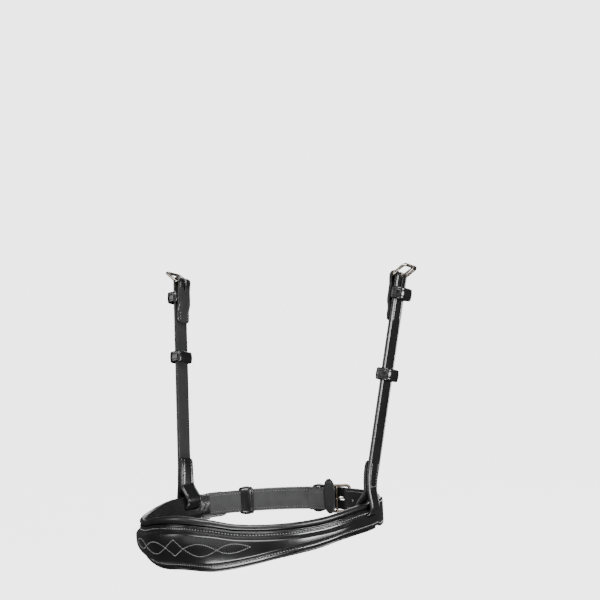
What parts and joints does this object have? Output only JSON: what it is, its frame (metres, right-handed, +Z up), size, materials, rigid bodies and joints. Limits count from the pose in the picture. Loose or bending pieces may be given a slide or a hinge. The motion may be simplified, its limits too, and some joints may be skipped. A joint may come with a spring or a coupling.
{
  "type": "noseband",
  "caption": "Raised and padded leather noseband with cheek straps through slots, chin strap with buckle and keepers, and fancy stitching over the nose.",
  "frame": {"origin": "middle of the band's oval at the height of the chin strap's top edge, where the horse's nose and jaw pass", "axes": "+Z up along the cheek straps, square to the band; -Y towards the nose, +X towards the horse's left (near) side"},
  "size_m": [0.2654, 0.2278, 0.2438],
  "materials": {
    "facing": "black bridle leather, smooth and polished",
    "lining": "soft black padded leather",
    "filler": "pressed felt core, hidden",
    "strap": "black bridle leather, dark flesh side inside",
    "keeper": "black bridle leather, edge creased",
    "guard": "black leather safe",
    "thread": "light grey waxed thread",
    "buckle_metal": "polished stainless steel"
  },
  "bodies": {
    "band": {"nose_facing": "facing", "nose_filler": "filler", "nose_lining": "lining", "chin_buckle_strap": "strap", "chin_billet": "strap", "chin_fixed_keeper": "keeper", "chin_buckle_guard": "guard"},
    "chin_frame": {"chin_buckle_frame": "buckle_metal"},
    "chin_tongue": {"chin_buckle_tongue": "buckle_metal"},
    "chin_slider": {"chin_sliding_keeper": "keeper"},
    "near_cheek": {"near_cheek_strap": "strap", "near_fixed_keeper": "keeper"},
    "near_slider": {"near_sliding_keeper": "keeper"},
    "near_frame": {"near_cheek_buckle_frame": "buckle_metal"},
    "near_tongue": {"near_cheek_buckle_tongue": "buckle_metal"},
    "off_cheek": {"off_cheek_strap": "strap", "off_fixed_keeper": "keeper"},
    "off_slider": {"off_sliding_keeper": "keeper"},
    "off_frame": {"off_cheek_buckle_frame": "buckle_metal"},
    "off_tongue": {"off_cheek_buckle_tongue": "buckle_metal"}
  },
  "joints": [
    {"name": "chin_frame_tilt", "type": "hinge", "parent": "band", "child": "chin_frame", "pos_m": [0.00076, 0.10465, -0.0099], "axis": [0, 0, 1], "range_deg": [0, 2]},
    {"name": "chin_tongue_lift", "type": "hinge", "parent": "chin_frame", "child": "chin_tongue", "pos_m": [0.00838, 0.10588, -0.0099], "axis": [0, 0, 1], "range_deg": [0, 6]},
    {"name": "chin_keeper_slide", "type": "hinge", "parent": "band", "child": "chin_slider", "pos_m": [0, 0.01301, -0.0099], "axis": [0, 0, 1], "range_deg": [-33, 4.5]},
    {"name": "near_cheek_swing", "type": "hinge", "parent": "band", "child": "near_cheek", "pos_m": [0.09481, 0.0228, -0.00342], "axis": [-0.1514, 0.9885, 0], "range_deg": [-15, 15]},
    {"name": "near_keeper_slide", "type": "slide", "parent": "near_cheek", "child": "near_slider", "axis": [0.115, 0.1817, 0.9766], "range_m": [-0.067, 0.0385]},
    {"name": "near_frame_swing", "type": "hinge", "parent": "near_cheek", "child": "near_frame", "pos_m": [0.11633, 0.05477, 0.18589], "axis": [-0.0172, 0.9833, -0.181], "range_deg": [-78, 22]},
    {"name": "near_tongue_swing", "type": "hinge", "parent": "near_frame", "child": "near_tongue", "pos_m": [0.11633, 0.05477, 0.18589], "axis": [-0.0172, 0.9833, -0.181], "range_deg": [0, 45]},
    {"name": "off_cheek_swing", "type": "hinge", "parent": "band", "child": "off_cheek", "pos_m": [-0.09481, 0.0228, -0.00342], "axis": [-0.1514, -0.9885, 0], "range_deg": [-15, 15]},
    {"name": "off_keeper_slide", "type": "slide", "parent": "off_cheek", "child": "off_slider", "axis": [-0.115, 0.1817, 0.9766], "range_m": [-0.0863, 0.0255]},
    {"name": "off_frame_swing", "type": "hinge", "parent": "off_cheek", "child": "off_frame", "pos_m": [-0.11708, 0.05595, 0.19224], "axis": [-0.0172, -0.9833, 0.181], "range_deg": [-78, 22]},
    {"name": "off_tongue_swing", "type": "hinge", "parent": "off_frame", "child": "off_tongue", "pos_m": [-0.11708, 0.05595, 0.19224], "axis": [-0.0172, -0.9833, 0.181], "range_deg": [0, 45]}
  ]
}
